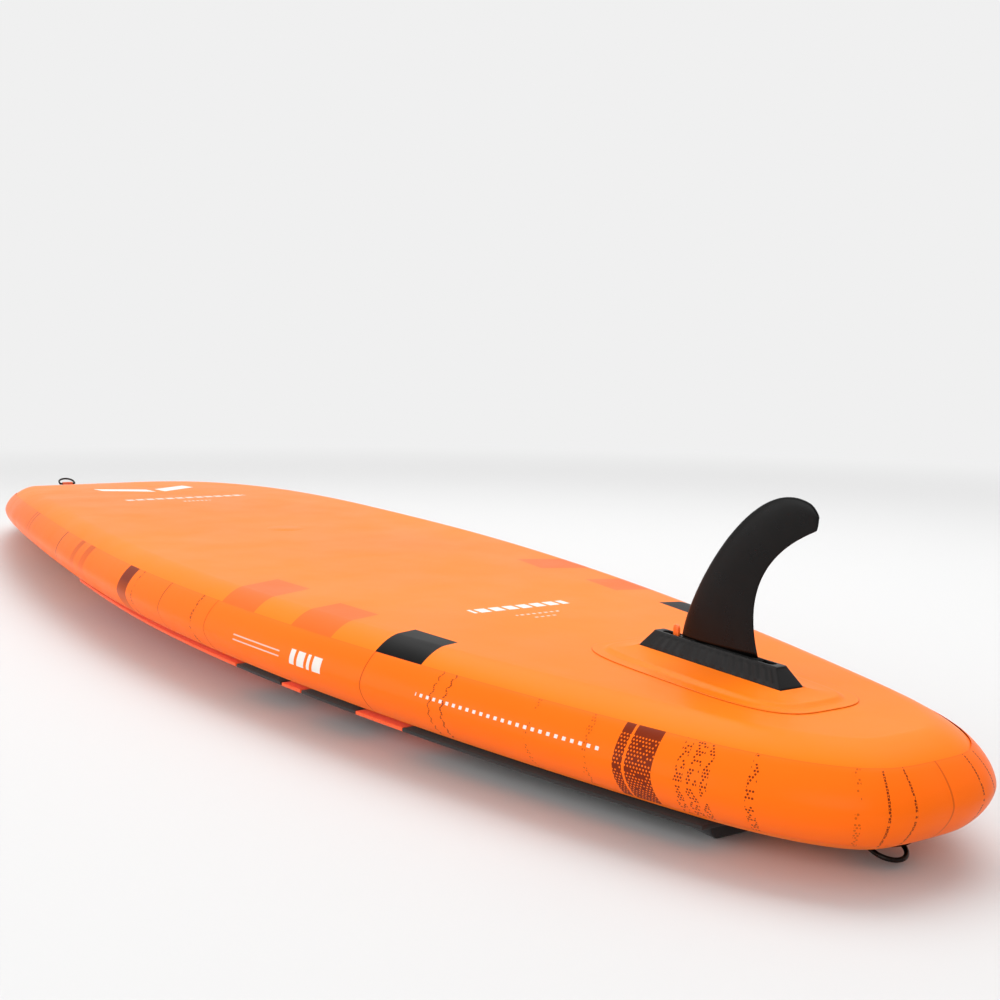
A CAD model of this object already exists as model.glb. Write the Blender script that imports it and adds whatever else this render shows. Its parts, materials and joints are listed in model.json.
"""Inflatable stand up paddleboard, hull up: its looks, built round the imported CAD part.

Metres, in the part's own frame: +X towards the tail, Y across, +Z out of the hull.
"""
import json
import math
from functools import partial, partialmethod, reduce

import bmesh
import bpy
import numpy as np
from mathutils import Matrix, Vector

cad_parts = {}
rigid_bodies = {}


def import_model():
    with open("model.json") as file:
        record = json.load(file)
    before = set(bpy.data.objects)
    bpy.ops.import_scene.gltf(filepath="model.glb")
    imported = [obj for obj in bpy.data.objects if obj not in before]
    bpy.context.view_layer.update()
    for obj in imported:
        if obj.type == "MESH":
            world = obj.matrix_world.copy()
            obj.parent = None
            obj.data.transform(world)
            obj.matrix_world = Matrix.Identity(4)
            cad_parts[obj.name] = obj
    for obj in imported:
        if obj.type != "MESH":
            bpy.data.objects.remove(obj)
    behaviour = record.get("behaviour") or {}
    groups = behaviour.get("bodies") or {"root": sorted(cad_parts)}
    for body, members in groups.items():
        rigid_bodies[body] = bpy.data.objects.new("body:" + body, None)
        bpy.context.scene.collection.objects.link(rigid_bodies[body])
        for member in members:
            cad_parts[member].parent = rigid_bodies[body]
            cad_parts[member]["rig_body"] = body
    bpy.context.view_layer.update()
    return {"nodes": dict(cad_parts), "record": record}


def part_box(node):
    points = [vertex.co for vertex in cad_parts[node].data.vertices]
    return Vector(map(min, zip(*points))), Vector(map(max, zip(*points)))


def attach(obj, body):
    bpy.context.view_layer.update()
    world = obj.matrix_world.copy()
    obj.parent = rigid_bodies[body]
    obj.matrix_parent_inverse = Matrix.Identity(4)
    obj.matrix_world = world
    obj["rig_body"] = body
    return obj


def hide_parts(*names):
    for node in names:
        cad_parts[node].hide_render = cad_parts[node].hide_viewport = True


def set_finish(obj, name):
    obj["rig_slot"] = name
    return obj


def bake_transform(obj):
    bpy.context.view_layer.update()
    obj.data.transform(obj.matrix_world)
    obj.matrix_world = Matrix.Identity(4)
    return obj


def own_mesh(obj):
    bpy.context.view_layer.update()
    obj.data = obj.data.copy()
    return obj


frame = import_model()

# ---- Shape of the board, by the same laws as the CAD part ----

LENGTH, WIDTH, THICK = 3.048, 0.711, 0.102
WIDEST_AT, NOSE_POWER = 0.54, 1.92
TAIL_SHARE, TAIL_POWER = 0.337, 1.89
CORNER_LENGTH, CORNER_POWER = 0.218, 3.27
NOSE_ROCKER, ROCKER_END, ROCKER_POWER = 0.092, 0.43, 2.22
RAIL_DEPTH, RAIL_POWER = 0.064, 1.65
SKIN_T, TAPE_T, GLUE = 0.0009, 0.0007, 0.00025
SKIN_D = 2 * (TAPE_T + GLUE)
OUTER_TAPE_ANGLE, INNER_TAPE_ANGLE, SKIN_RIM_ANGLE = 47, 40, 30
FRONT_SEAM_X, REAR_SEAM_X, SEAM_GAP = 0.545, 0.910, 0.0005
BOX_LIFT = 0.0004
HULL_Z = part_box("fin_box")[0].z - BOX_LIFT
DECK_Z = HULL_Z - THICK


def half_width(u):
    """Half the board's width at shares u of its length."""
    ahead = np.clip((WIDEST_AT - u) / WIDEST_AT, 0, 1)
    behind = np.clip((u - WIDEST_AT) / (1 - WIDEST_AT), 0, 1)
    corner = np.clip(1 - (1 - u) * LENGTH / CORNER_LENGTH, 0, 1)
    nose = np.sqrt(1 - ahead ** NOSE_POWER)
    taper = 1 - (1 - TAIL_SHARE) * behind ** TAIL_POWER
    return WIDTH / 2 * nose * taper * (1 - corner ** CORNER_POWER) ** (1 / CORNER_POWER)


def edge_line(step=0.002):
    """The outline's +Y half from nose to tail at even steps: run, points, outward normals."""
    ends = np.logspace(-9, 0, 3000)
    u = np.unique(np.concatenate((
        np.linspace(0, 1, 4000), ends * 0.05, 1 - ends * CORNER_LENGTH / LENGTH)))
    points = np.stack((LENGTH * (u - 0.5), half_width(u)), 1)
    run = np.concatenate(([0], np.cumsum(np.linalg.norm(np.diff(points, axis=0), axis=1))))
    even = np.linspace(0, run[-1], int(run[-1] / step) + 1)
    line = np.stack([np.interp(even, run, points[:, k]) for k in (0, 1)], 1)
    mirror = np.array((1, -1))
    longer = np.vstack((line[3:0:-1] * mirror, line, line[-2:-5:-1] * mirror))
    along = longer[6:] - longer[:-6]
    normal = np.stack((-along[:, 1], along[:, 0]), 1)
    return even, line, normal / np.linalg.norm(normal, axis=1)[:, None]


RUN, EDGE, EDGE_NORMAL = edge_line()
EDGE_RUN = RUN[-1]


def run_at(x):
    """Distance along the outline from the nose to the place level with x."""
    return float(np.interp(x, EDGE[:, 0], RUN))


def nose_drop(x):
    share = max(0.0, ROCKER_END - 0.5 - x / LENGTH) / ROCKER_END
    return NOSE_ROCKER * share ** ROCKER_POWER


def mid_z(x):
    return DECK_Z + THICK / 2 - nose_drop(x)


def slope_at(x):
    return math.atan((nose_drop(x - 0.001) - nose_drop(x + 0.001)) / 0.002)


def rail_section(angle, depth):
    """Inset from the outline and height over mid-board, at an angle in degrees down the rail."""
    power = 2 / RAIL_POWER
    sine, cosine = math.sin(math.radians(angle)), math.cos(math.radians(angle))
    inset = RAIL_DEPTH - (RAIL_DEPTH - depth) * max(cosine, 0) ** power
    height = (THICK / 2 + SKIN_D - depth) * math.copysign(abs(sine) ** power, sine)
    return inset, height


def rail_point(run, side, angle, depth):
    """Point of the rail at a distance from the nose, on side -1 or 1, at angle and depth."""
    place = [np.interp(run, RUN, EDGE[:, k]) for k in (0, 1)]
    normal = [np.interp(run, RUN, EDGE_NORMAL[:, k]) for k in (0, 1)]
    inset, height = rail_section(angle, depth)
    x = place[0] - normal[0] * inset
    return Vector((x, side * (place[1] - normal[1] * inset), mid_z(x) + height))


def section_reach(angle):
    """Distance round the rail's face from its outermost line to an angle."""
    angles = np.linspace(0, abs(angle), 60)
    points = np.array([rail_section(a, 0) for a in angles])
    reach = np.linalg.norm(np.diff(points, axis=0), axis=1).sum()
    return math.copysign(reach, angle)


def on_hull(x, y=0.0):
    """Frame standing on the hull, its +Z out of the board."""
    turn = Matrix.Rotation(-slope_at(x), 4, "Y")
    return Matrix.Translation((x, y, mid_z(x) + THICK / 2)) @ turn


def on_deck(x, y=0.0):
    """Frame standing on the deck, its +Z out of the board."""
    turn = Matrix.Rotation(-slope_at(x), 4, "Y") @ Matrix.Rotation(math.pi, 4, "X")
    return Matrix.Translation((x, y, mid_z(x) - THICK / 2)) @ turn


def middle(node):
    """Centre of a CAD node's box."""
    return [(low + high) / 2 for low, high in zip(*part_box(node))]


# ---- Making pieces ----

UPRIGHT = Matrix.Rotation(math.pi / 2, 4, "X")


def add_object(name, data):
    thing = bpy.data.objects.new(name, data)
    bpy.context.collection.objects.link(thing)
    return thing


def clean(mesh, weld=False):
    """Turns every face outward, after joining doubled points where asked."""
    work = bmesh.new()
    work.from_mesh(mesh)
    if weld:
        bmesh.ops.remove_doubles(work, verts=work.verts, dist=1e-6)
    bmesh.ops.recalc_face_normals(work, faces=work.faces)
    work.to_mesh(mesh)
    work.free()


def baked(thing):
    """Mesh of an object as its modifiers and curve settings make it."""
    bpy.context.view_layer.update()
    final = thing.evaluated_get(bpy.context.evaluated_depsgraph_get())
    return bpy.data.meshes.new_from_object(final)


def circle(radius, count=64, centre=(0.0, 0.0)):
    turns = np.linspace(0, 2 * math.pi, count + 1)[:-1]
    return [(centre[0] + radius * math.cos(a), centre[1] + radius * math.sin(a)) for a in turns]


def grid_faces(rows, columns, join_rows=False, join_columns=False):
    """Quads of a net of points stored row after row."""
    faces = []
    for r in range(rows if join_rows else rows - 1):
        here, there = r * columns, (r + 1) % rows * columns
        for c in range(columns if join_columns else columns - 1):
            d = (c + 1) % columns
            faces.append((here + c, here + d, there + d, there + c))
    return faces


def make_piece(name, points, faces, slot, body="board", replaces=(), uvs=None, sharp=38):
    """Mesh object in the part's frame that rides on a body, with its material and CAD nodes."""
    mesh = bpy.data.meshes.new(name)
    mesh.from_pydata([tuple(p) for p in points], [], faces)
    if uvs is not None:
        layer = mesh.uv_layers.new(name="run")
        for loop in mesh.loops:
            layer.data[loop.index].uv = uvs[loop.vertex_index]
    clean(mesh)
    return finish_piece(name, mesh, slot, body, replaces, sharp)


def finish_piece(name, mesh, slot, body="board", replaces=(), sharp=38):
    piece = add_object(name, mesh)
    for polygon in mesh.polygons:
        polygon.use_smooth = True
    mesh.set_sharp_from_angle(angle=math.radians(sharp))
    mesh.materials.append(MATERIALS[slot])
    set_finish(piece, slot)
    if body:
        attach(piece, body)
    if replaces:
        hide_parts(*replaces)
    return piece


def loft(name, sections, slot, closed=False, uv=None, **rest):
    """Solid through closed sections of equal point counts; closed joins the last to the first."""
    rows, columns = len(sections), len(sections[0])
    points = [p for section in sections for p in section]
    faces = grid_faces(rows, columns, closed, True)
    if not closed:
        faces.append(tuple(range(columns)))
        faces.append(tuple(range((rows - 1) * columns, rows * columns)))
    return make_piece(name, points, faces, slot, uvs=uv, **rest)


def tube_rows(path, radius, closed=False, count=16):
    """Circles square to a path of points, and how far along it each stands."""
    path = [Vector(p) for p in path]
    total = len(path)
    rows, far, up = [], [], None
    distance = 0.0
    for i, point in enumerate(path):
        after = path[(i + 1) % total] if closed or i + 1 < total else point
        before = path[i - 1] if closed or i else point
        along = (after - before).normalized()
        if up is None:
            up = along.orthogonal().normalized()
        up = (up - along * up.dot(along)).normalized()
        side = along.cross(up)
        turn = [2 * math.pi * k / count for k in range(count)]
        rows.append([point + radius * (up * math.cos(a) + side * math.sin(a)) for a in turn])
        distance += (point - path[i - 1]).length if i else 0
        far.append(distance)
    return rows, far


def tube(name, path, radius, slot, closed=False, count=16, **rest):
    rows, far = tube_rows(path, radius, closed, count)
    uv = [(f, k / count) for f in far for k in range(count)]
    return loft(name, rows, slot, closed, uv, **rest)


def rounded(path, bend, steps=6, closed=False):
    """Path with its corners turned into curves that start a distance bend before each."""
    path = [Vector(p) for p in path]
    total = len(path)
    found = []
    for i, corner in enumerate(path):
        if not closed and i in (0, total - 1):
            found.append(corner)
            continue
        into = (corner - path[i - 1]).normalized()
        away = (path[(i + 1) % total] - corner).normalized()
        start, end = corner - into * bend, corner + away * bend
        for k in range(steps + 1):
            t = k / steps
            found.append((1 - t) ** 2 * start + 2 * t * (1 - t) * corner + t * t * end)
    return found


def band(name, path, across, width, thick, slot, matrix=Matrix(), rest_sharp=50, **rest):
    """Webbing along a path, width measured along the unit vector across, with soft edges."""
    across = Vector(across)
    path = [Vector(p) for p in path]
    edge = min(thick * 0.9, width / 6)
    flat = [-width / 2 + edge * 0.15, -width / 2 + edge] + [
        -width / 2 + edge + (width - 2 * edge) * k / 8 for k in range(1, 8)
    ] + [width / 2 - edge, width / 2 - edge * 0.15]
    rows, uv, far = [], [], 0.0
    for i, point in enumerate(path):
        along = (path[min(i + 1, len(path) - 1)] - path[max(i - 1, 0)]).normalized()
        up = along.cross(across).normalized()
        far += (point - path[i - 1]).length if i else 0
        ends = [(-width / 2, 0.0)]
        top = [(w, thick / 2 * (0.72 if k in (0, 10) else 1)) for k, w in enumerate(flat)]
        ring = ends + top + [(width / 2, 0.0)] + [(w, -h) for w, h in reversed(top)]
        rows.append([matrix @ (point + across * w + up * h) for w, h in ring])
        uv += [(far, w) for w, h in ring]
    return loft(name, rows, slot, False, uv, sharp=rest_sharp, **rest)


def slab(name, outlines, bottom, top, bevel, slot, matrix=Matrix(), **rest):
    """Plate with rounded edges between two heights; the first outline is outside, others holes."""
    curve = bpy.data.curves.new(name, "CURVE")
    curve.dimensions = "2D"
    curve.fill_mode = "BOTH"
    curve.extrude = (top - bottom) / 2 - bevel
    curve.bevel_depth = bevel
    curve.bevel_resolution = 2
    curve.offset = -bevel
    for outline in outlines:
        spline = curve.splines.new("POLY")
        spline.points.add(len(outline) - 1)
        for knot, place in zip(spline.points, outline):
            knot.co = (place[0], place[1], 0, 1)
        spline.use_cyclic_u = True
    mesh = baked(add_object(name + "_maker", curve))
    bpy.data.curves.remove(curve)  # its object goes with it
    mesh.name = name
    mesh.materials.clear()
    clean(mesh, weld=True)
    mesh.transform(matrix @ Matrix.Translation((0, 0, (top + bottom) / 2)))
    return finish_piece(name, mesh, slot, **rest)


def rounded_box(length, width, radius, count=8, centre=(0.0, 0.0)):
    """Corner-rounded rectangle as 2D points."""
    found = []
    for quarter, (sx, sy) in enumerate(((1, 1), (-1, 1), (-1, -1), (1, -1))):
        for k in range(count + 1):
            a = math.pi / 2 * (quarter + k / count)
            found.append((
                centre[0] + sx * (length / 2 - radius) + radius * math.cos(a),
                centre[1] + sy * (width / 2 - radius) + radius * math.sin(a)))
    return found


def glued_patch(name, outlines, slot, matrix, top=0.0009, **rest):
    """Thin patches with softened rims, standing just off the skin."""
    return slab(name, outlines, 0.0003, top, 0.0002, slot, matrix, **rest)


def join_pieces(name, parts, replaces=()):
    """One piece from several that share a material and a body."""
    joined = bmesh.new()
    for part in parts:
        joined.from_mesh(part.data)
    mesh = bpy.data.meshes.new(name)
    joined.to_mesh(mesh)
    joined.free()
    slot, body = parts[0]["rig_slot"], parts[0].get("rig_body")
    for part in parts:
        bpy.data.objects.remove(part)
    return finish_piece(name, mesh, slot, body, replaces, sharp=180)


# ---- Materials ----

def colour(*screen):
    """Linear colour from screen values of red, green and blue, each 0 to 255."""
    shares = [value / 255 for value in screen]
    return (*(v / 12.92 if v <= 0.04045 else ((v + 0.055) / 1.055) ** 2.4 for v in shares), 1.0)


def shade(base, share):
    """Darker tone of a colour."""
    return tuple(c * share for c in base[:3]) + (1.0,)


class Nodes:
    """A node tree, with short calls for the steps it is built from."""

    def __init__(self, tree):
        self.tree = tree

    def put(self, socket, value):
        if isinstance(value, bpy.types.NodeSocket):
            self.tree.links.new(value, socket)
        else:
            socket.default_value = value

    def add(self, kind, inputs, **settings):
        node = self.tree.nodes.new("ShaderNode" + kind)
        for key, value in settings.items():
            setattr(node, key, value)
        for key, value in inputs.items():
            self.put(node.inputs[key], value)
        return node

    def math(self, operation, *values):
        return self.add("Math", dict(enumerate(values)), operation=operation).outputs[0]

    def near(self, value, centre, half):
        """1 where value is within half of centre."""
        return self.math("COMPARE", value, centre, half)

    def between(self, value, low, high):
        return self.near(value, (low + high) / 2, (high - low) / 2)

    def both(self, *masks):
        return reduce(self.times, masks)

    def any(self, *masks):
        return reduce(partial(self.math, "MAXIMUM"), masks)

    def mix(self, share, a, b):
        return self.add("Mix", {0: share, 6: a, 7: b}, data_type="RGBA").outputs[2]

    def place(self, kind="Object"):
        return self.add("TexCoord", {}).outputs[kind]

    def parts(self, vector):
        return self.add("SeparateXYZ", {0: vector}).outputs[:3]

    def laid(self):
        """Distances along and across a piece, from its own map."""
        return self.parts(self.add("UVMap", {}, uv_map="run").outputs[0])[:2]

    def noise(self, vector, scale, detail=2.0):
        node = self.add("TexNoise", {"Vector": vector, "Scale": scale, "Detail": detail})
        return node.outputs["Fac"]

    def chance(self, *cells):
        """Steady random number for each cell."""
        joined = self.add("CombineXYZ", dict(enumerate(cells)))
        node = self.add("TexWhiteNoise", {"Vector": joined.outputs[0]}, noise_dimensions="3D")
        return node.outputs["Value"]

    def ramp(self, value, low, high, to_low=0.0, to_high=1.0):
        node = self.add("MapRange", {0: value, 1: low, 2: high, 3: to_low, 4: to_high})
        return node.outputs[0]

    def ripple(self, value, pitch):
        """Wave from 0 to 1 and back once in each pitch."""
        turn = self.times(value, 2 * math.pi / pitch)
        return self.scaled(self.math("SINE", turn), 0.5, 0.5)


# Short calls for the Math nodes in use, such as m.times(a, b).
for word, operation in (("times", "MULTIPLY"), ("plus", "ADD"), ("minus", "SUBTRACT"),
                        ("per", "DIVIDE"), ("over", "GREATER_THAN"), ("under", "LESS_THAN"),
                        ("floor", "FLOOR"), ("part", "FRACT"), ("size", "ABSOLUTE"),
                        ("scaled", "MULTIPLY_ADD")):
    setattr(Nodes, word, partialmethod(Nodes.math, operation))


class Shader(Nodes):
    """A material with the Principled surface at its end."""

    def __init__(self, name, roughness=0.5, metallic=0.0):
        self.material = bpy.data.materials.new(name)
        self.material.use_nodes = True
        super().__init__(self.material.node_tree)
        self.surface = self.tree.nodes["Principled BSDF"]
        self.set("Metallic", metallic)
        self.base_roughness = roughness
        self.set("Roughness", roughness)
        self.bump_height = None

    def set(self, name, value):
        self.put(self.surface.inputs[name], value)

    def painted(self, tone):
        self.set("Base Color", tone)
        return self.material

    def bump(self, height, distance, strength=1.0):
        """Adds relief of that height in metres on top of what is already there."""
        inputs = {"Height": height, "Distance": distance, "Strength": strength}
        if self.bump_height is not None:
            inputs["Normal"] = self.bump_height
        self.bump_height = self.add("Bump", inputs).outputs[0]
        self.set("Normal", self.bump_height)

    def roughen(self, vector, scale, spread):
        low, high = self.base_roughness - spread, self.base_roughness + spread
        self.set("Roughness", self.ramp(self.noise(vector, scale), 0.3, 0.7, low, high))


HULL_ORANGE = colour(255, 122, 20)
TAPE_ORANGE = colour(255, 110, 18)
RED_TINT = colour(255, 84, 34)
PRINT_MAROON = colour(84, 16, 14)
INK_BLACK = colour(6, 5, 5)
MARK_WHITE = colour(225, 218, 212)
COAT_SHINE = 0.06
HULL_BUMP = (0.044, 0.005)


def coated(name, base, roughness=0.36, weave=0.00002):
    """Satin PVC coating over a woven base; returns the shader and its even base colour."""
    m = Shader(name, roughness)
    where = m.place()
    x, y, z = m.parts(where)
    drift = m.noise(where, 2.2, 3)
    deeper = shade(base, 0.9)
    tone = m.mix(m.ramp(drift, 0.35, 0.65), deeper, base)
    threads = m.times(m.ripple(x, 0.0012), m.ripple(y, 0.0012))
    m.bump(threads, weave)
    m.bump(m.noise(where, 28, 3), 0.00035, 0.5)
    m.roughen(where, 9, 0.04)
    m.set("Specular IOR Level", COAT_SHINE)
    return m, tone


def hull_block(m, x, side, start, inner, lean, length=0.092):
    """Printed block on the hull's shoulder, its sides leaning towards the tail outboard."""
    along = m.minus(x, m.times(m.minus(side, inner), lean))
    edge = m.scaled(m.minus(x, start), -0.13, inner)
    return m.both(m.between(along, start, start + length), m.over(side, edge))


def plain_marks(m, x, y):
    """Plain white stripes where the hull carries print."""
    side = m.size(y)
    wide, fine = (m.under(m.part(m.times(y, count)), share)
                  for count, share in ((47, 0.74), (110, 0.55)))
    rows = [m.both(m.between(x, start, end), m.under(side, half), pattern)
            for start, end, half, pattern in (
                (0.812, 0.834, 0.0745, wide), (0.866, 0.871, 0.034, fine),
                (0.886, 0.890, 0.018, fine), (-0.485, -0.460, 0.130, wide),
                (-0.412, -0.400, 0.030, fine))]
    lean = m.scaled(side, 0.9, x)
    nose = m.both(m.between(lean, -0.705, -0.630), m.between(side, 0.010, 0.105))
    return m.any(rows[0], nose, m.times(m.any(*rows[1:]), 0.7))


def hull_material():
    m, tone = coated("pvc_hull", HULL_ORANGE)
    x, y, z = m.parts(m.place())
    side = m.size(y)
    upper = m.over(z, mid_z(0))
    red = m.both(upper, m.any(hull_block(m, x, side, 0.504, 0.205, 0.44),
                              hull_block(m, x, side, 0.698, 0.199, 0.35)))
    black = m.both(upper, hull_block(m, x, side, 0.882, 0.188, 0.31, 0.086))
    tone = m.mix(m.times(red, 0.62), tone, RED_TINT)
    tone = m.mix(black, tone, INK_BLACK)
    m.set("Specular IOR Level", m.ramp(black, 0, 1, COAT_SHINE, 0.05))
    tone = m.mix(m.both(upper, plain_marks(m, x, y)), tone, MARK_WHITE)
    off = m.add("VectorMath", {0: m.place(), 1: (*HULL_BUMP, HULL_Z)}, operation="DISTANCE")
    swell = m.ramp(off.outputs["Value"], 0.0, 0.034, 1.0, 0.0)
    m.bump(m.math("SMOOTH_MIN", swell, 0.8, 0.3), 0.004)
    return m.painted(tone)


def spots(m, run, reach, pitch, density, radius):
    """Round dots in offset rows, each there or not by chance."""
    row = m.per(reach, pitch)
    line = m.floor(row)
    shift = m.times(m.math("MODULO", line, 2.0), 0.5)
    column = m.plus(m.per(run, pitch), shift)
    across = m.minus(m.part(column), 0.5)
    up = m.minus(m.part(row), 0.5)
    far = m.math("SQRT", m.plus(m.times(across, across), m.times(up, up)))
    there = m.under(m.chance(m.floor(column), line, 1.0), density)
    return m.both(m.under(far, radius), there)


def bars(m, run, *spans):
    """1 inside any of the spans, given as places along the board where each starts and ends."""
    return m.any(*(m.between(run, run_at(start), run_at(end)) for start, end in spans))


def tape_material():
    """Rail tape: satin orange with bars of halftone print and plain white dashes."""
    m, tone = coated("pvc_tape", TAPE_ORANGE, 0.33)
    run, reach = m.laid()
    fade = m.ramp(reach, -0.045, 0.03, 0.25, 1.0)
    chain = m.minus(1.0, spots(m, run, reach, 0.0037, 0.9, 0.27))
    chain_side = m.any(chain, m.over(reach, 0.034))
    dense = m.both(bars(m, run, (1.279, 1.290), (1.293, 1.323)), chain_side)
    dense = m.both(dense, m.between(reach, -0.050, 0.048))
    dotted = m.both(bars(m, run, (1.347, 1.356), (1.360, 1.371), (1.374, 1.381), (1.416, 1.424)),
                    spots(m, run, reach, 0.0031, 0.55, 0.36))
    sparse = m.both(bars(m, run, (1.168, 1.173), (1.240, 1.247), (1.496, 1.500)),
                    spots(m, run, reach, 0.0034, 0.45, 0.34))
    tail = m.both(m.any(*(m.near(run, EDGE_RUN - off, 0.0012) for off in (0.071, 0.045))),
                  spots(m, run, reach, 0.0028, 0.8, 0.46))
    wave = m.scaled(m.ripple(reach, 0.011), 0.003, run)
    wavy = m.both(m.any(m.near(wave, run_at(1.050), 0.0013), m.near(wave, run_at(1.030), 0.0009)),
                  spots(m, run, reach, 0.0024, 0.85, 0.48))
    strong = m.both(bars(m, run, (0.222, 0.262)), m.ramp(reach, -0.05, 0.02))
    pale = m.both(
        bars(m, run, (-0.482, -0.470), (-0.458, -0.444), (-0.060, -0.036), (0.000, 0.030)),
        m.ramp(reach, -0.02, 0.04, 0.05, 0.5))
    line = m.both(bars(m, run, (-0.170, -0.164), (0.392, 0.3945)), fade)
    broken = m.both(bars(m, run, (0.284, 0.288), (0.500, 0.505)),
                    spots(m, run, reach, 0.005, 0.7, 0.45))
    ink = m.any(dense, dotted, m.times(sparse, 0.5), tail, wavy, strong, pale,
                m.times(line, 0.8), m.times(broken, 0.8))
    tone = m.mix(m.times(ink, 0.88), tone, PRINT_MAROON)
    dash = m.both(
        m.between(run, run_at(1.005), run_at(1.262)), m.near(reach, 0.010, 0.0019),
        m.under(m.part(m.per(run, 0.0105)), 0.42))
    size = m.both(bars(m, run, (0.766, 0.776), (0.782, 0.797), (0.803, 0.809), (0.815, 0.832)),
                  m.near(reach, 0.006, 0.0095))
    lines = m.both(bars(m, run, (0.628, 0.742)),
                   m.any(m.near(reach, 0.001, 0.0009), m.near(reach, 0.0075, 0.0009)))
    tone = m.mix(m.any(dash, size, m.times(lines, 0.6)), tone, MARK_WHITE)
    rim = m.over(m.size(reach), section_reach(OUTER_TAPE_ANGLE - 1.0))
    seams = [run_at(x) for x in (FRONT_SEAM_X, REAR_SEAM_X)] + [EDGE_RUN]
    seam = m.any(*(m.near(run, place, 0.0011) for place in seams))
    tone = m.mix(m.any(m.times(rim, 0.15), m.times(seam, 0.5)), tone,
                 colour(170, 60, 18))
    m.bump(m.noise(m.place(), 9, 2), 0.0022, 0.35)
    return m.painted(tone)


def patch_material():
    """Hull coloured patch whose rim shows as a thin glue line."""
    m, tone = coated("patch", HULL_ORANGE)
    share = m.laid()[0]
    tone = m.mix(m.times(m.over(share, 0.986), 0.45), tone, colour(176, 70, 18))
    return m.painted(tone)


def plain_coated(name, base, roughness=0.4):
    m, tone = coated(name, base, roughness)
    return m.painted(tone)


def moulded(name, base, roughness, grain, spread=0.06, shine=0.5):
    """Moulded plastic with a spark-eroded grain and slight unevenness of gloss."""
    m = Shader(name, roughness)
    where = m.place()
    m.set("Specular IOR Level", shine)
    lighter = tuple(min(1, c * 1.3 + 0.0006) for c in base[:3]) + (1.0,)
    m.set("Base Color", m.mix(m.ramp(m.noise(where, 35, 4), 0.4, 0.75), base, lighter))
    m.bump(m.noise(where, 1400, 2), grain)
    m.bump(m.noise(where, 14, 2), grain * 6, 0.4)
    m.roughen(where, 60, spread)
    return m.material


def metal(name, base, roughness, brushed=0.000006):
    """Metal with fine draw lines and small stains."""
    m = Shader(name, roughness, 1.0)
    where = m.place()
    m.set("Base Color", m.mix(m.ramp(m.noise(where, 220, 4), 0.45, 0.7, 0, 0.35), base,
                              shade(base, 0.6)))
    m.bump(m.noise(where, 2600, 1), brushed)
    m.roughen(where, 300, 0.08)
    return m.material


def foam(name, base, groove=0.012):
    """EVA foam: matt skin with fine pores, cut with a diamond of shallow grooves."""
    m = Shader(name, 0.78)
    where = m.place()
    x, y, z = m.parts(where)
    one = m.math("PINGPONG", m.plus(x, m.times(y, 0.7)), groove)
    two = m.math("PINGPONG", m.minus(x, m.times(y, 0.7)), groove)
    floor = m.math("MINIMUM", one, two)
    land = m.ramp(floor, 0.0004, 0.0016)
    faces_down = m.under(m.parts(m.add("NewGeometry", {}).outputs["Normal"])[2], -0.7)
    relief = m.math("MAXIMUM", land, m.minus(1.0, faces_down))
    pores = m.noise(where, 900, 2)
    dark = shade(base, 0.55)
    tone = m.mix(m.ramp(pores, 0.3, 0.6), shade(base, 0.85), base)
    m.set("Base Color", m.mix(relief, dark, tone))
    m.bump(relief, 0.0012)
    m.bump(pores, 0.00008)
    m.set("Sheen Weight", 0.15)
    return m.material


def woven(name, base, pitch=0.0018):
    """Webbing: ribs across the band, yarn along it, fuzz at grazing angles."""
    m = Shader(name, 0.72)
    along, across = m.laid()
    rib = m.ripple(along, pitch)
    cell = m.floor(m.per(across, pitch))
    offset = m.scaled(m.math("MODULO", cell, 2.0), pitch / 2, along)
    yarn = m.times(m.ripple(offset, pitch), m.ripple(across, pitch))
    height = m.plus(yarn, m.times(rib, 0.4))
    dark = shade(base, 0.5)
    m.set("Base Color", m.mix(m.ramp(height, 0.1, 0.8), dark, base))
    m.bump(height, 0.00035)
    m.bump(m.noise(m.place(), 1800, 2), 0.00006)
    m.set("Sheen Weight", 0.3)
    return m.material


def knitted(name, base):
    """Neoprene with a fine knit face."""
    m = Shader(name, 0.85)
    x, y, z = m.parts(m.place())
    rows = m.times(m.ripple(x, 0.0011), m.ripple(m.plus(y, z), 0.0016))
    m.set("Base Color", m.mix(rows, shade(base, 0.6), base))
    m.bump(rows, 0.00025)
    m.set("Sheen Weight", 0.5)
    return m.material


MATERIALS = {"pvc_hull": hull_material(), "pvc_tape": tape_material(), "patch": patch_material()}
for make, slot, tone, *finish in (
        (plain_coated, "inner_tape", (240, 116, 44)),
        (plain_coated, "black_patch", (22, 22, 22)),
        (woven, "thread", (232, 230, 224), 0.0006),
        (moulded, "box_plastic", (8, 7, 7), 0.42, 0.00003, 0.06, 0.2),
        (moulded, "fin_plastic", (4, 4, 4), 0.3, 0.00001, 0.04, 0.13),
        (metal, "brass", (214, 178, 96), 0.3),
        (metal, "stainless", (190, 190, 190), 0.28),
        (metal, "black_steel", (44, 40, 38), 0.33),
        (moulded, "orange_plastic", (255, 108, 30), 0.34, 0.00001),
        (foam, "eva_orange", (250, 96, 34)),
        (foam, "eva_black", (30, 29, 29)),
        (woven, "webbing_black", (26, 25, 25)),
        (woven, "webbing_orange", (238, 106, 52)),
        (knitted, "neoprene", (28, 28, 29)),
        (moulded, "valve_plastic", (34, 34, 36), 0.45, 0.00002),
        (moulded, "valve_white", (226, 225, 220), 0.4, 0.00002),
        (moulded, "seal_rubber", (20, 20, 20), 0.62, 0.00002),
        (moulded, "seal_red", (186, 48, 30), 0.5, 0.00001)):
    MATERIALS[slot] = make(slot, colour(*tone), *finish)


# ---- Board ----

PANEL_END, PANEL_ROWS, PANEL_COLUMNS, SHOULDER_STEPS = 0.0006, 272, 28, 16


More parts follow.
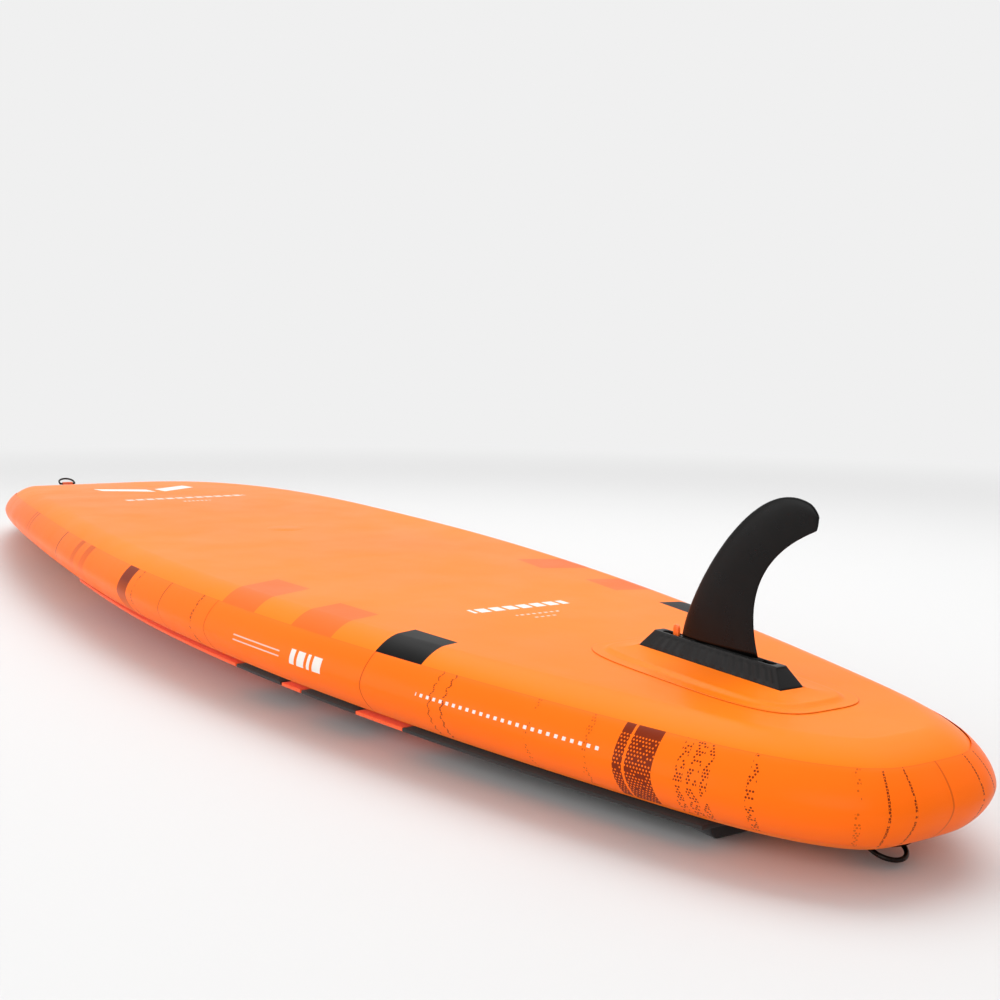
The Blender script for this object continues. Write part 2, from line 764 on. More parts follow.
def board_panel(name, face, node):
    """Sheet over one whole face and its shoulders; face is 1 for the hull, -1 for the deck."""
    angles = [face * a for a in np.linspace(SKIN_RIM_ANGLE, 90, SHOULDER_STEPS)]
    between = np.linspace(0, 1, PANEL_COLUMNS)[1:-1]
    rows = []
    for run in np.linspace(PANEL_END, EDGE_RUN - PANEL_END, PANEL_ROWS):
        right = [rail_point(run, -1, a, SKIN_D) for a in angles]
        left = [rail_point(run, 1, a, SKIN_D) for a in angles]
        across = [right[-1].lerp(left[-1], t) for t in between]
        rows.append(right + across + left[::-1])
    columns = len(rows[0])
    faces = grid_faces(len(rows), columns)
    for start in (0, (len(rows) - 1) * columns):
        for k in range(len(angles) - 1):
            far = start + columns - 1 - k
            faces.append((start + k, start + k + 1, far - 1, far))
    panel = make_piece(name, [p for row in rows for p in row], faces, "pvc_hull", replaces=[node])
    average = sum(p.normal.z * p.area for p in panel.data.polygons)
    if average * face < 0:
        panel.data.flip_normals()
    sheet = panel.modifiers.new("sheet", "SOLIDIFY")
    sheet.thickness = SKIN_T
    sheet.offset = -1
    return panel


VALVE_HOLE_R = 0.017


def cut_valve_hole(panel):
    """Opens the deck for the valve's barrel."""
    centre = (middle("valve_flange_gasket")[0], 0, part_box("valve_flange_gasket")[1].z)
    plug = slab("plug", [circle(VALVE_HOLE_R)], -0.02, 0.02, 0.0001, "pvc_hull",
                Matrix.Translation(centre))
    cut = panel.modifiers.new("hole", "BOOLEAN")
    cut.operation = "DIFFERENCE"
    cut.object = plug
    opened = baked(panel)
    panel.modifiers.clear()
    panel.data = opened
    bpy.data.objects.remove(plug)


def tape(word, path, limit=OUTER_TAPE_ANGLE, depth=0, slot="pvc_tape", closed=False, step=3.0):
    """Tape round the rail through (distance from the nose, side) places, with thinned edges."""
    steps = int(round(2 * limit / step))
    angles = [-limit + 2 * limit * k / steps for k in range(steps + 1)]
    ring = [(a, depth + (TAPE_T * 0.6 if abs(a) == limit else 0)) for a in angles]
    ring += [(a, depth + TAPE_T) for a in reversed(angles)]
    sections = [[rail_point(run, side, a, d) for a, d in ring] for run, side in path]
    reach = [section_reach(a) for a, d in ring]
    uv = [(run, far) for run, side in path for far in reach]
    loft("tape_" + word, sections, slot, closed, uv, replaces=["rail_tape_" + word], sharp=50)


def runs(start, end, step=0.008):
    return list(np.linspace(start, end, int((end - start) / step) + 2))


def make_tapes():
    nose = runs(0, run_at(FRONT_SEAM_X - SEAM_GAP))
    centre = runs(run_at(FRONT_SEAM_X), run_at(REAR_SEAM_X - SEAM_GAP))
    tail = runs(run_at(REAR_SEAM_X), EDGE_RUN)
    whole = runs(0, EDGE_RUN)
    tape("nose", [(s, -1) for s in nose[::-1]] + [(s, 1) for s in nose[1:]])
    for side, word in ((-1, "left"), (1, "right")):
        tape("mid_" + word, [(s, side) for s in centre])
    tape("tail", [(s, 1) for s in tail] + [(s, -1) for s in tail[-2::-1]])
    loop = [(s, -1) for s in whole[:-1]] + [(s, 1) for s in whole[:0:-1]]
    tape("inner", loop, INNER_TAPE_ANGLE, TAPE_T + GLUE, "inner_tape", closed=True, step=5.0)


# ---- Fin box ----

BOX_X = middle("fin_box")[0]
BOX_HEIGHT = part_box("fin_box")[1].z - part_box("fin_box")[0].z
BOX_FOOT, BOX_TOP = (0.226, 0.0314), (0.194, 0.014)
BOX_FOOT_H, BOX_FLOOR, FLANGE_T = 0.0086, 0.004, 0.0026
SLOT_SIZE, FLANGE_SIZE, PATCH_SIZE = (0.176, 0.0098), (0.288, 0.088), (0.335, 0.150)
PLINTH_H = 0.0076


def box_ring(length, width, radius, height, extra=100, rib=0.0):
    """Ring of the box's outline with extra points along both long sides, ribs pushed out."""
    corners = rounded_box(length, width, radius, 5)
    ring = []
    for k, corner in enumerate(corners):
        ring.append(corner)
        if k in (5, 17):
            after = corners[k + 1]
            for i in range(1, extra + 1):
                t = i / (extra + 1)
                on_rib = i % 6 in (1, 2, 3) and 3 < i < extra - 2
                push = math.copysign(rib if on_rib else 0, corner[1])
                ring.append((corner[0] + (after[0] - corner[0]) * t, corner[1] + push))
    return [Vector((x + BOX_X, y, HULL_Z + BOX_LIFT + height)) for x, y in ring]


def taper(height):
    share = max(0.0, (height - BOX_FOOT_H) / (BOX_HEIGHT - BOX_FOOT_H))
    return [foot + (top - foot) * share for foot, top in zip(BOX_FOOT, BOX_TOP)]


def fin_box():
    """Moulded box: glued flange, ribbed flanks, rounded crest and the fin's slot."""
    soft, edge, fade, rib, rib_levels = 0.0011, 0.0004, 0.0006, 0.00055, 7
    low, high = BOX_FOOT_H + 0.0022, BOX_HEIGHT - 0.0034
    rings = [box_ring(*FLANGE_SIZE, FLANGE_SIZE[1] / 2 - 0.001, h) for h in (0, FLANGE_T)]
    rings += [box_ring(*BOX_FOOT, 0.002, h) for h in (FLANGE_T, BOX_FOOT_H - edge)]
    rings += [box_ring(*taper(h), 0.002, h) for h in (BOX_FOOT_H + edge, low - fade)]
    rings += [box_ring(*taper(h), 0.0019, h, rib=rib) for h in np.linspace(low, high, rib_levels)]
    rings.append(box_ring(*taper(high + fade), 0.0018, high + fade))
    length, width = taper(BOX_HEIGHT - soft)
    for turn in np.linspace(0, math.pi / 2, 4):
        inset = soft * (1 - math.cos(turn))
        rings.append(box_ring(length - 2 * inset, width - 2 * inset, 0.0018,
                              BOX_HEIGHT - soft + soft * math.sin(turn)))
    slot_l, slot_w = SLOT_SIZE
    for grow, down in ((0.0011, 0), (0.0003, 0.0002), (0, 0.0009), (0, BOX_HEIGHT - BOX_FLOOR)):
        rings.append(box_ring(slot_l + grow, slot_w + grow, (slot_w + grow) / 2 - 0.0001,
                              BOX_HEIGHT - down))
    loft("fin_box_shell", rings, "box_plastic", replaces=["fin_box"], sharp=32)


def patch_height(t):
    foot, drop, rest = FLANGE_T + 0.001, 0.60, 0.76
    if t < drop:
        return foot + (PLINTH_H - foot) * (1 - t / drop) ** 2
    share = min(1.0, (t - drop) / (rest - drop))
    ease = share * share * (3 - 2 * share)
    return foot + (0.0003 - foot) * ease


def patch_ring(t, lift, count=176):
    """Ring of the patch between the box opening (0) and the patch's outer edge (1)."""
    ring = []
    for place in circle(1, count):
        square = [math.copysign(abs(v) ** 0.55, v) for v in place]
        near = [max(-1, min(1, v * 1.25)) * (size / 2 + 0.0012)
                for v, size in zip(square, BOX_FOOT)]
        far = [v * size / 2 for v, size in zip(square, PATCH_SIZE)]
        x, y = (n + (f - n) * t for n, f in zip(near, far))
        ring.append(Vector((BOX_X + x, y, HULL_Z + patch_height(t) + lift)))
    return ring


def fin_patch():
    shares = [0.0, 0.03, 0.08] + list(np.linspace(0.12, 0.98, 26)) + [0.993, 1.0]
    sheet = 0.0008
    rings = [patch_ring(t, sheet if t < 1 else sheet * 0.6) for t in shares]
    rings += [patch_ring(t, 0) for t in reversed(shares)]
    uv = [(t, 0) for t in shares + shares[::-1] for point in rings[0]]
    loft("fin_patch", rings, "patch", closed=True, uv=uv, replaces=["fin_box_patch"], sharp=60)


# ---- Fin ----

FIN_T, FIN_ROOT, PIN_EYE_R = 0.0092, 0.028, 0.00225
LEADING_EDGE = ((1.152, FIN_ROOT), (1.157, 0.076), (1.250, 0.225), (1.334, 0.197))
TRAILING_EDGE = ((1.272, FIN_ROOT), (1.225, 0.140), (1.360, 0.172), (1.343, 0.172))
FIN_TIP = (1.3465, 0.184)
BACK_END, BLADE_ROWS, TIP_ROWS, THINNING = 0.93, 56, 11, 0.60
TIP_PULL = ((1.342, 0.1935), (1.3465, 0.1765))


def curve_point(points, t):
    """Point at t on a Bezier curve of any order."""
    points = [Vector(p) for p in points]
    while len(points) > 1:
        points = [a.lerp(b, t) for a, b in zip(points, points[1:])]
    return points[0]


def foil(front, back, thick, count=18):
    """Closed section of the blade, round at the front and thin at the back."""
    upper = []
    for k in range(count + 1):
        c = (1 - math.cos(math.pi * k / count)) / 2
        hump = 2.969 * math.sqrt(c) - 1.26 * c - 3.516 * c ** 2 + 2.843 * c ** 3 - 1.036 * c ** 4
        place = front.lerp(back, c)
        upper.append((place, min(1.0, hump + 0.05 * c) * thick))
    lower = upper[-2:0:-1]
    return ([Vector((p.x, h, HULL_Z + p.y)) for p, h in upper]
            + [Vector((p.x, -h, HULL_Z + p.y)) for p, h in lower])


def fin_blade():
    rows = []
    for t in np.linspace(0, 1, BLADE_ROWS):
        front, back = curve_point(LEADING_EDGE, t), curve_point(TRAILING_EDGE, BACK_END * t)
        rows.append(foil(front, back, FIN_T / 2 * (1 - THINNING * t)))
    tip, back_end = Vector(FIN_TIP), curve_point(TRAILING_EDGE, BACK_END)
    for k in range(1, TIP_ROWS):
        t = math.sin(math.pi / 2 * k / TIP_ROWS)
        front = curve_point((LEADING_EDGE[-1], TIP_PULL[0], FIN_TIP), t)
        back = curve_point((back_end, TIP_PULL[1], FIN_TIP), t)
        round_off = math.sqrt(max(0.0, 1 - t * t))
        rows.append(foil(front, back, FIN_T / 2 * (1 - THINNING) * (0.12 + 0.88 * round_off)))
    rows.append(foil(tip.lerp(front, 0.05), tip.lerp(back, 0.05), FIN_T / 2 * 0.03))
    blade = loft("fin_blade_part", rows, "fin_plastic", body="fin", sharp=60)
    lug_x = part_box("fin")[0].x
    front, rear, top = 1.151, 1.276, FIN_ROOT + 0.0004
    bottom, lug_top, lug_low = 0.0075, 0.0205, 0.0177
    tab = [(front, bottom), (rear, bottom), (rear, top), (front, top),
           (front, lug_top), (lug_x, lug_top), (lug_x, lug_low), (front, lug_low)]
    pin = middle("fin_pin")
    eye = circle(PIN_EYE_R, 32, (pin[0], pin[2] - HULL_Z))
    stand = Matrix.Translation((0, 0, HULL_Z)) @ UPRIGHT
    base = slab("fin_tab_part", [tab, eye], -FIN_T / 2, FIN_T / 2, 0.0004, "fin_plastic", stand,
                body="fin")
    join_pieces("fin_blade", [blade, base], ["fin"])


def lathe(name, profile, matrix, slot, count=40, **rest):
    """Turned piece from (radius, height) pairs; it closes on its axis at both ends."""
    sections = [[matrix @ Vector((x, y, height)) for x, y in circle(radius, count)]
                for radius, height in profile]
    return loft(name, sections, slot, **rest)


def thumb_screw():
    """Threaded shank with a moulded wing to turn it by."""
    low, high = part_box("fin_screw")
    centre = Vector((middle("fin_screw_washer")[0], 0, 0))
    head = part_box("fin_screw_washer")[1].z + 0.0001
    radius, pitch = 0.00197, 0.0007
    turns = int((head - low.z) / pitch)
    profile = [(radius * 0.7, low.z)]
    for k in range(turns):
        profile += [(radius, low.z + pitch * (k + 0.35)),
                    (radius * 0.86, low.z + pitch * (k + 0.85))]
    made_of = {"slot": "orange_plastic", "body": "thumb_screw"}
    place = Matrix.Translation(centre)
    shank = lathe("shank_part", profile + [(radius, head)], place, count=24, **made_of)
    collar = [(0.0030, 0), (0.0039, 0.0006), (0.0039, 0.0024), (0.0032, 0.003)]
    collar = lathe("collar_part", [(r, head + up) for r, up in collar], place, **made_of)
    half, top = 0.0045, high.z - head
    outline = [(-half * 0.7, 0.0028), (half * 0.7, 0.0028), (half, 0.0060)]
    outline += [(half * math.cos(a), top - half + half * math.sin(a))
                for a in np.linspace(0, math.pi, 15)]
    outline.append((-half, 0.0060))
    stand = Matrix.Translation(centre + Vector((0, 0, head))) @ UPRIGHT
    wing = slab("wing_part", [outline], -0.0016, 0.0016, 0.0006, matrix=stand, **made_of)
    join_pieces("thumb_screw_wing", [wing, collar, shank], ["fin_screw"])


# ---- Deck pad ----

PAD_INSET, PAD_GAP, BLOCK_GAP = 0.041, 0.00035, 0.0004
PAD_TOP = PAD_GAP
PAD_BOTTOM = DECK_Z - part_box("deck_pad_rear")[0].z
PAD_FRONT_X, PAD_SPLIT_X, PAD_REAR_X = -0.225, 0.932, 1.345
BLOCK_STARTS, BLOCK_LENGTH, BLOCK_WIDTH = (0.559, 0.726), 0.116, 0.103
WINDOW = (0.352, 0.104)
HANDLE_X = middle("handle_webbing")[0]


def pad_edge(x):
    return float(half_width(np.array(x / LENGTH + 0.5))) - PAD_INSET


def down(points):
    """Outline seen from the deck side, where +Y turns over."""
    return [(x, -y) for x, y in points]


def mirrored(upper):
    """Whole outline from its +Y half, run from front to back."""
    return upper + [(x, -y) for x, y in reversed(upper)]


def pad_slab(name, outlines, slot, node):
    level = Matrix.Translation((0, 0, DECK_Z)) @ Matrix.Rotation(math.pi, 4, "X")
    slab(name, outlines, PAD_TOP, PAD_BOTTOM, 0.0012, slot, level, replaces=[node], sharp=30)


def deck_pads():
    round_r = 0.07
    upper = []
    for x in np.arange(PAD_FRONT_X, PAD_SPLIT_X - BLOCK_GAP, 0.004):
        short = max(0.0, PAD_FRONT_X + round_r - x)
        half = pad_edge(x) - (round_r - math.sqrt(round_r ** 2 - short ** 2))
        for start in BLOCK_STARTS:
            if start - BLOCK_GAP <= x <= start + BLOCK_LENGTH + BLOCK_GAP:
                half = pad_edge(start) - BLOCK_WIDTH - BLOCK_GAP
        upper.append((x, half))
    end = PAD_SPLIT_X - BLOCK_GAP
    upper.append((end, pad_edge(end)))
    stadium = rounded_box(*WINDOW, WINDOW[1] / 2 - 0.0001, 14, (HANDLE_X, 0))
    pad_slab("deck_pad_front_foam", [mirrored(upper), stadium], "eva_orange", "deck_pad_front")
    blocks = []
    for start in BLOCK_STARTS:
        inner = pad_edge(start) - BLOCK_WIDTH
        outer = [(x, pad_edge(x)) for x in np.linspace(start, start + BLOCK_LENGTH, 12)]
        block = [(start, inner)] + outer + [(start + BLOCK_LENGTH, inner)]
        blocks += [block, down(block)]
    pad_slab("deck_pad_block_foam", blocks, "eva_black", "deck_pad_blocks")
    rear = [(x, pad_edge(x)) for x in np.linspace(PAD_SPLIT_X, PAD_REAR_X, 60)]
    pad_slab("deck_pad_rear_foam", [mirrored(rear)], "eva_black", "deck_pad_rear")


def kick_pad():
    """Arched pad under the back foot, its two ends rounded over."""
    low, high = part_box("kick_pad")
    top = high.z - low.z
    foot, edge, end_round = 0.028, 0.003, 0.012
    span = high.x - low.x
    profile = [(0.0, 0.0)]
    for t in np.linspace(0, 1, 25)[1:]:
        profile.append(((span - foot - edge) * t, top * math.sin(math.pi / 2 * t)))
    profile += [(span - edge, top), (span - edge * 0.3, top - edge * 0.3), (span, top - edge)]
    profile.append((span, 0.0))
    half = (high.y - low.y) / 2
    sections = []
    ends = [half - end_round * (1 - math.cos(math.pi / 2 * k / 6)) for k in range(7)]
    places = [-y for y in ends] + list(np.linspace(-half + end_round, half - end_round, 24)[1:-1])
    for y in places + ends[::-1]:
        past = max(0.0, (abs(y) - (half - end_round)) / end_round)
        scale = 0.25 + 0.75 * math.sqrt(max(0.0, 1 - past * past))
        sections.append([Vector((low.x + x, y, high.z - h * scale)) for x, h in profile])
    loft("kick_pad_foam", sections, "eva_black", replaces=["kick_pad"], sharp=40)


# ---- Webbing, stitching and rings ----

def stitches(name, lines, slot, matrix=Matrix(), body="board", pitch=0.0034):
    """Thread stitches along straight lines of local points on a surface facing +Z."""
    points, faces = [], []
    thick, wide = 0.00035, 0.0004
    for start, end in lines:
        start, end = Vector(start), Vector(end)
        along = (end - start).normalized()
        side = along.cross(Vector((0, 0, 1)))
        for k in range(max(1, int((end - start).length / pitch))):
            centre = start + along * pitch * (k + 0.5)
            base = len(points)
            for far, grow in ((-0.42, 0.35), (-0.3, 0.85), (0.0, 1.0), (0.3, 0.85), (0.42, 0.35)):
                for turn in range(6):
                    a = math.pi / 3 * turn
                    lift = Vector((0, 0, thick * grow * math.sin(a)))
                    points.append(matrix @ (centre + along * pitch * far
                                            + side * wide * grow * math.cos(a) + lift))
            faces += [[base + i for i in f] for f in grid_faces(5, 6, False, True)]
            faces += [[base + i for i in range(6)], [base + 24 + i for i in range(6)]]
    return make_piece(name, points, faces, slot, body)


def sewn_box(x0, x1, half, z, cross=True):
    """Stitch lines of a rectangle with its diagonals."""
    corners = [(x0, -half, z), (x1, -half, z), (x1, half, z), (x0, half, z)]
    lines = [(corners[k], corners[(k + 1) % 4]) for k in range(4)]
    return lines + ([(corners[0], corners[2]), (corners[1], corners[3])] if cross else [])


def sewn_across(places, half, z):
    """Stitch lines across a loop's two tails."""
    return [((side * x, -half, z), (side * x, half, z)) for x in places for side in (-1, 1)]


def folded_loop(name, matrix, tail, centre_z, inner, thick, width, foot, slot, **rest):
    """Webbing sewn flat at both ends and folded round a bar that lies along local Y."""
    radius = inner + thick / 2
    level = foot + thick / 2
    path = [(-tail, 0, level), (-radius * 1.2, 0, level)]
    for a in np.linspace(math.radians(214), math.radians(-34), 22):
        path.append((radius * math.cos(a), 0, centre_z + radius * math.sin(a)))
    path += [(radius * 1.2, 0, level), (tail, 0, level)]
    return band(name, rounded(path, 0.0004, 2), (0, 1, 0), width, thick, slot, matrix, **rest)


def strap_height(s):
    crest, ramp, foot = 0.075, 0.045, 0.0019
    t = max(0.0, min(1.0, (abs(s) - crest) / ramp))
    return foot + (0.022 - foot) * (1 - t * t * (3 - 2 * t))


def carry_handle():
    """Webbing strap over two patches, its middle in a neoprene sleeve."""
    frame_here = on_deck(HANDLE_X)
    reach, ramp_end, crest = 0.150, 0.120, 0.075
    for side, word in ((-1, "front"), (1, "rear")):
        path = [(side * s, 0, strap_height(s)) for s in np.linspace(0, reach, 60)]
        strap = band("handle_strap_" + word, path, (0, 1, 0), 0.038, 0.002, "webbing_black",
                     frame_here, body=None, replaces=["handle_webbing"])
        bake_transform(strap)
        ends = sorted((side * (reach - 0.004), side * (reach - 0.024)))
        stitches("handle_stitching_" + word, sewn_box(*ends, 0.015, 0.0030), "thread", frame_here)
    plates = [rounded_box(0.056, 0.072, 0.014, 8, (side * (reach - 0.015), 0))
              for side in (-1, 1)]
    glued_patch("handle_patch_pair", plates, "patch", frame_here, 0.0008,
                replaces=["handle_patches"])
    handle_sleeve(frame_here)


def handle_sleeve(matrix):
    half, wide, thick, end, level = 0.065, 0.050, 0.012, 0.004, 0.022
    flat = half - end
    sections = []
    for s in np.concatenate((np.linspace(-half, -flat, 5), np.linspace(-flat, flat, 30)[1:-1],
                             np.linspace(flat, half, 5))):
        past = max(0.0, (abs(s) - flat) / end)
        pull = 0.0018 * (1 - math.sqrt(max(0.0, 1 - past * past)))
        swell = 0.0004 * math.cos(s * math.pi / half / 2)
        ring = rounded_box(wide - 2 * pull + swell, thick - 2 * pull, thick / 2 - pull - 0.0001, 8)
        sections.append([matrix @ Vector((s, y, level + z)) for y, z in ring])
    loft("handle_sleeve", sections, "neoprene", body="handle", replaces=["handle_grip"])
    top = level + thick / 2 + 0.0001
    seam = [((-flat, y, top), (flat, y, top)) for y in (-0.016, 0.016)]
    stitches("handle_sleeve_stitching", seam, "thread", matrix, "handle")


RING_WIDTH, RING_WIRE, RING_REACH, RING_BAR_Z = 0.039, 0.0025, 0.009, 0.0058


def d_ring(word, matrix, slot):
    """Welded D ring: straight bar along local Y, bow towards +X."""
    half, corner = RING_WIDTH / 2, 0.002
    bend = [(corner * (1 - math.cos(a)), half - corner + corner * math.sin(a))
            for a in np.linspace(0, math.pi / 2, 6)[1:]]
    path = [(0, y) for y in np.linspace(-half + corner, half - corner, 12)] + bend
    path += [(RING_REACH + half * math.cos(a), half * math.sin(a))
             for a in np.linspace(math.pi / 2, -math.pi / 2, 40)]
    path += [(x, -y) for x, y in reversed(bend)]
    tube(word + "_ring_bow", [matrix @ Vector((x, y, 0)) for x, y in path], RING_WIRE, slot,
         closed=True, count=20, body=word + "_ring", replaces=[word + "_ring"])


def ring_fitting(word, stand, tilt, patch_r, tail, patch_slot, strap_slot):
    """Patch, webbing tab and D ring at one end of the board."""
    glued_patch(word + "_patch_disc", [circle(patch_r)], patch_slot, stand,
                replaces=[word + "_patch"])
    folded_loop(word + "_tab", stand, tail, RING_BAR_Z, RING_WIRE + 0.0003, 0.0016, 0.027, 0.0011,
                strap_slot, replaces=[word + "_webbing"])
    stitches(word + "_tab_stitching", sewn_across((0.007, 0.011, 0.0155), 0.0115, 0.0028), "thread",
             stand)
    matrix = stand @ Matrix.Translation((0, 0, RING_BAR_Z)) @ Matrix.Rotation(tilt, 4, "Y")
    d_ring(word, matrix, "black_steel")


# ---- Cargo net ----

CARGO_X, CARGO_Y = (-1.120, -0.900, -0.680), (0.088, 0.150, 0.190)
CORD_R, CORD_Z, CORD_REACH = 0.0025, 0.0062, 0.016


def cord_place(i, side, shift):
    return on_deck(CARGO_X[i], side * CARGO_Y[i]) @ Vector((shift, 0, CORD_Z))


def cord_crossing(i, lift):
    a, b = cord_place(i, -1, CORD_REACH), cord_place(i + 1, 1, -CORD_REACH)
    share = CARGO_Y[i] / (CARGO_Y[i] + CARGO_Y[i + 1])
    return a.lerp(b, share) - Vector((0, 0, lift))


def cargo_net():
    lift, path = CORD_R + 0.0003, []
    for way, first_side in ((1, -1), (-1, 1)):
        for i in (0, 1, 2)[::way]:
            side = -first_side if i == 1 else first_side
            path += [cord_place(i, side, end * way * CORD_REACH) for end in (-1, 1)]
            if 0 <= i + way <= 2:
                path.append(cord_crossing(min(i, i + way), way * lift))
    tube("cargo_cord_loop", rounded(path, 0.006, 8, closed=True), CORD_R, "webbing_black",
         closed=True, count=16, replaces=["cargo_cord"])
    plates, straps, threads = [], [], []
    for i in range(3):
        for side in (-1, 1):
            stand = on_deck(CARGO_X[i], side * CARGO_Y[i])
            word = f"{i}_{'l' if side < 0 else 'r'}"
            plates.append(glued_patch("plate_" + word, [rounded_box(0.052, 0.044, 0.012)], "patch",
                                      stand))
            turned = stand @ Matrix.Rotation(math.pi / 2, 4, "Z")
            straps.append(folded_loop("loop_" + word, turned, 0.017, CORD_Z, CORD_R + 0.0006,
                                      0.0014, 0.022, 0.0011, "webbing_black"))
            threads.append(stitches("sewing_" + word, sewn_across((0.008, 0.014), 0.009, 0.0026),
                                    "thread", turned))
    join_pieces("cargo_patch_set", plates, ["cargo_patches"])
    join_pieces("cargo_loop_set", straps, ["cargo_loops"])
    join_pieces("cargo_loop_stitching", threads)
    cord_lock()


def cord_lock():
    """Barrel lock with waisted grips on the net's front run."""
    front = on_deck(CARGO_X[0], 0) @ Vector((-CORD_REACH, 0, CORD_Z))
    half = [(5.5, 6.6), (4.7, 7.2), (4.7, 8.4), (5.5, 9), (5.3, 12.4), (4.6, 13), (3.1, 13)]
    profile = [(r, -z) for r, z in reversed(half)] + [(5.5, 0)] + half
    lathe("cord_lock_barrel", [(r / 1000, z / 1000) for r, z in profile],
          Matrix.Translation(front) @ UPRIGHT, "valve_plastic", closed=True,
          replaces=["cargo_cord_lock"])


def valve_spring():
    """Coil between the hub and the button; it shortens by the button's travel."""
    low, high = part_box("valve_spring")
    wire, turns, per_turn = 0.00045, 4, 24
    x, radius = middle("valve_spring")[0], (high.x - low.x) / 2 - wire
    length = high.z - low.z
    path = []
    for k in range(turns * per_turn + 1):
        a = 2 * math.pi * k / per_turn
        height = low.z + wire + (length - 2 * wire) * k / (turns * per_turn)
        path.append(Vector((x + radius * math.cos(a), radius * math.sin(a), height)))
    coil = tube("valve_coil", path, wire, "stainless", closed=False, count=10,
                replaces=["valve_spring"])
    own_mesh(coil)


# ---- CAD nodes that are shown as they are ----

def dress_cad_nodes():
    """Gives every CAD node its slot's material; rounds the edges of the hard ones shown."""
    slots = {part["node"]: part["material_slot"] for part in frame["record"]["subparts"]}
    for node, piece in frame["nodes"].items():
        material = MATERIALS[slots[node]]
        if piece.material_slots:
            for place in piece.material_slots:
                place.material = material
        else:
            piece.data.materials.append(material)
        if node.startswith("valve_") and node not in ("valve_spring", "valve_cap_gasket"):
            edge = piece.modifiers.new("edge", "BEVEL")
            edge.width = 0.0003
            edge.segments = 2
            edge.limit_method = "ANGLE"
            edge.angle_limit = math.radians(40)


# ---- Studio ----

CAMERA_PLACE = (2.25740, -0.95065, 0.53536)
CAMERA_YAW, CAMERA_PITCH, CAMERA_ROLL = 2.572677, -0.121390, 0.0227717
CAMERA_LENS, SENSOR = 47.85, 36.0


def set_camera():
    data = bpy.data.cameras.new("camera")
    data.sensor_width = SENSOR
    data.lens = CAMERA_LENS
    camera = add_object("camera", data)
    flat = math.cos(CAMERA_PITCH)
    ahead = Vector((math.cos(CAMERA_YAW) * flat, math.sin(CAMERA_YAW) * flat,
                    math.sin(CAMERA_PITCH)))
    right = Vector((math.sin(CAMERA_YAW), -math.cos(CAMERA_YAW), 0))
    up = right.cross(ahead)
    turned = math.cos(CAMERA_ROLL) * right + math.sin(CAMERA_ROLL) * up
    raised = math.cos(CAMERA_ROLL) * up - math.sin(CAMERA_ROLL) * right
    axes = Matrix((turned, raised, -ahead)).transposed().to_4x4()
    camera.matrix_world = Matrix.Translation(CAMERA_PLACE) @ axes
    bpy.context.scene.camera = camera


REST_NOSE_X, REST_CREST_X, FLOOR_GAP = -1.462, 1.310, 0.0004


def floor_z(x):
    """Height of the floor: it touches the nose and the kick pad's crest."""
    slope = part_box("kick_pad")[0].z / (REST_CREST_X - REST_NOSE_X)
    return slope * (x - REST_NOSE_X) - FLOOR_GAP


PAPER, BACKDROP, WHITE = colour(206, 206, 206), colour(240, 240, 240), (1.0, 1.0, 1.0, 1.0)
BACKDROP_FROM, BACKDROP_FULL, FLOOR_REACH = 1.9, 4.8, 16.0


def studio_paper():
    """Matt paper near the board that turns into an even glow farther off; clear from below."""
    m = Shader("studio_paper", 0.8)
    where = m.place()
    m.set("Base Color", PAPER)
    m.set("Specular IOR Level", 0.15)
    m.bump(m.noise(where, 160, 3), 0.0002, 0.4)
    glow = m.add("Emission", {"Color": BACKDROP, "Strength": 1.0}).outputs[0]
    far = m.add("VectorMath", {0: where}, operation="LENGTH").outputs["Value"]
    share = m.add("MapRange", {0: far, 1: BACKDROP_FROM, 2: BACKDROP_FULL},
                  interpolation_type="SMOOTHSTEP").outputs[0]
    paper = m.add("MixShader", {0: share, 1: m.surface.outputs[0], 2: glow}).outputs[0]
    clear = m.add("BsdfTransparent", {}).outputs[0]
    behind = m.any(m.add("NewGeometry", {}).outputs["Backfacing"],
                   m.add("LightPath", {}).outputs["Is Shadow Ray"])
    choice = m.add("MixShader", {0: behind, 1: paper, 2: clear}).outputs[0]
    m.tree.links.new(choice, m.tree.nodes["Material Output"].inputs["Surface"])
    return m.material


def studio_floor():
    """Wide pale floor that fades into the backdrop's tone, see-through from below."""
    spread = np.linspace(-FLOOR_REACH, FLOOR_REACH, 9)
    points = [(x, y, floor_z(x)) for y in spread for x in spread]
    mesh = bpy.data.meshes.new("studio_floor")
    mesh.from_pydata(points, [], grid_faces(len(spread), len(spread)))
    if mesh.polygons[0].normal.z < 0:
        mesh.flip_normals()
    floor = add_object("studio_floor", mesh)
    mesh.materials.append(studio_paper())


SKY_SIDE, SKY_STRENGTH = (-0.42, 0.27, 0.86), (0.26, 1.1)
OVERHEAD_WATTS, NOSE_WATTS, TAIL_WATTS, UNDER_WATTS = 124, 80, 66, 95


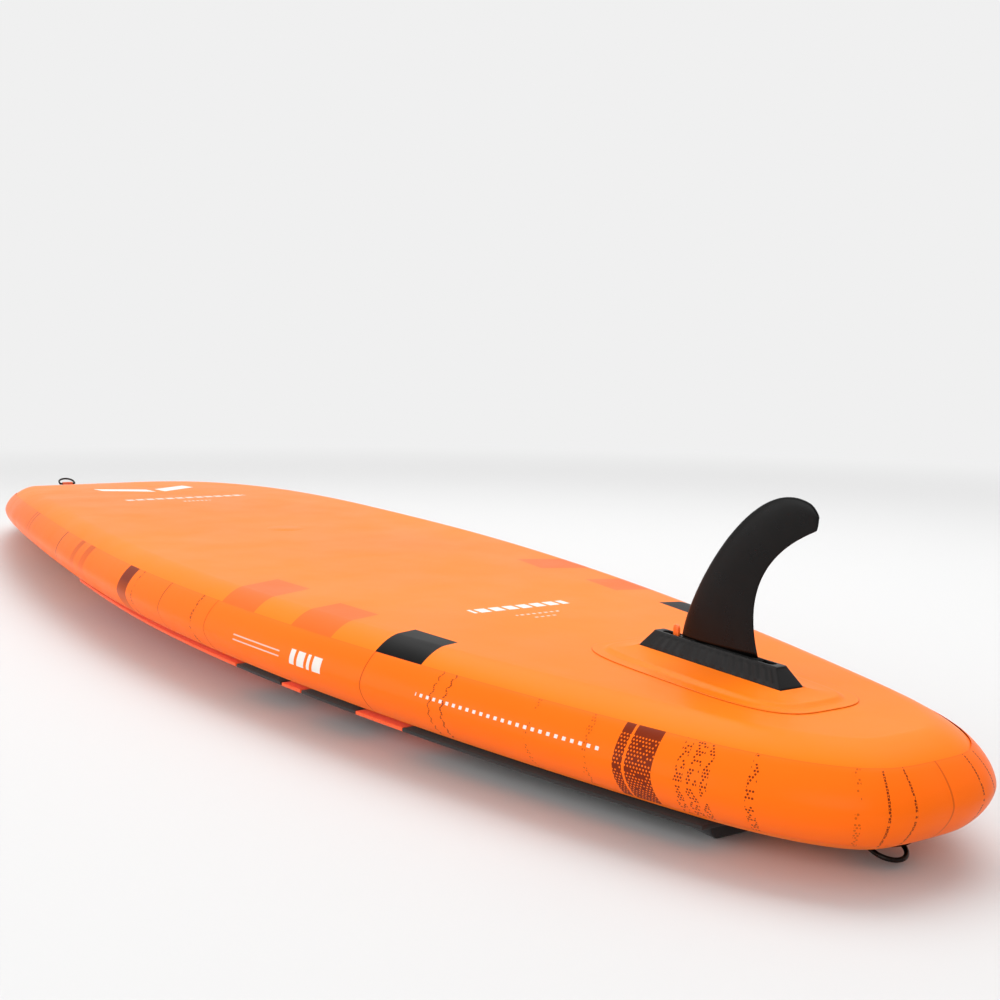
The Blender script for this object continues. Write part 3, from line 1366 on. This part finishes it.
def soft_box(name, place, aim, width, height, power):
    data = bpy.data.lights.new(name, "AREA")
    data.shape = "RECTANGLE"
    data.size, data.size_y = width, height
    data.energy = power
    lamp = add_object(name, data)
    lamp.location = place
    lamp.visible_camera = False
    lamp.rotation_euler = (Vector(aim) - Vector(place)).to_track_quat("-Z", "Y").to_euler()


def light_studio():
    """Soft daylight from above and from the backdrop's side; the camera's side is darker."""
    world = bpy.data.worlds.new("studio")
    bpy.context.scene.world = world
    world.use_nodes = True
    n = Nodes(world.node_tree)
    facing = n.add("VectorMath", {0: n.place("Generated"), 1: SKY_SIDE}, operation="DOT_PRODUCT")
    sky = n.ramp(facing.outputs["Value"], -0.2, 1.0, *SKY_STRENGTH)
    seen = n.add("LightPath", {}).outputs["Is Camera Ray"]
    tone = n.add("Mix", {0: seen, 2: sky, 3: BACKDROP[0]}).outputs[0]
    ground = n.tree.nodes["Background"]
    n.put(ground.inputs["Strength"], tone)
    n.put(ground.inputs["Color"], WHITE)
    soft_box("overhead", (-0.4, 1.0, 3.6), (0.2, 0, 0), 5.0, 3.0, OVERHEAD_WATTS)
    soft_box("nose_side", (-1.2, -4.0, 1.2), (-0.4, 0, 0.1), 4.5, 2.4, NOSE_WATTS)
    soft_box("tail_side", (4.0, -3.0, 2.0), (1.0, 0, 0.1), 3.0, 2.2, TAIL_WATTS)
    soft_box("under", (0.0, 0.0, -3.4), (0, 0, 0), 5.0, 3.5, UNDER_WATTS)
    bpy.context.scene.view_settings.view_transform = "Standard"


board_panel("hull_panel", 1, "hull_skin")
cut_valve_hole(board_panel("deck_panel", -1, "deck_skin"))
make_tapes()
fin_box()
fin_patch()
fin_blade()
thumb_screw()
deck_pads()
kick_pad()
carry_handle()
TOW_X, LEASH_X = -1.432, 1.443
TOW_TILT, LEASH_TILT = math.radians(210), math.radians(-20)
ring_fitting("tow", on_hull(TOW_X), TOW_TILT, 0.030, 0.019, "patch", "webbing_orange")
ring_fitting("leash", on_deck(LEASH_X), LEASH_TILT, 0.031, 0.020, "black_patch", "webbing_black")
cargo_net()
valve_spring()
dress_cad_nodes()
set_camera()
studio_floor()
light_studio()
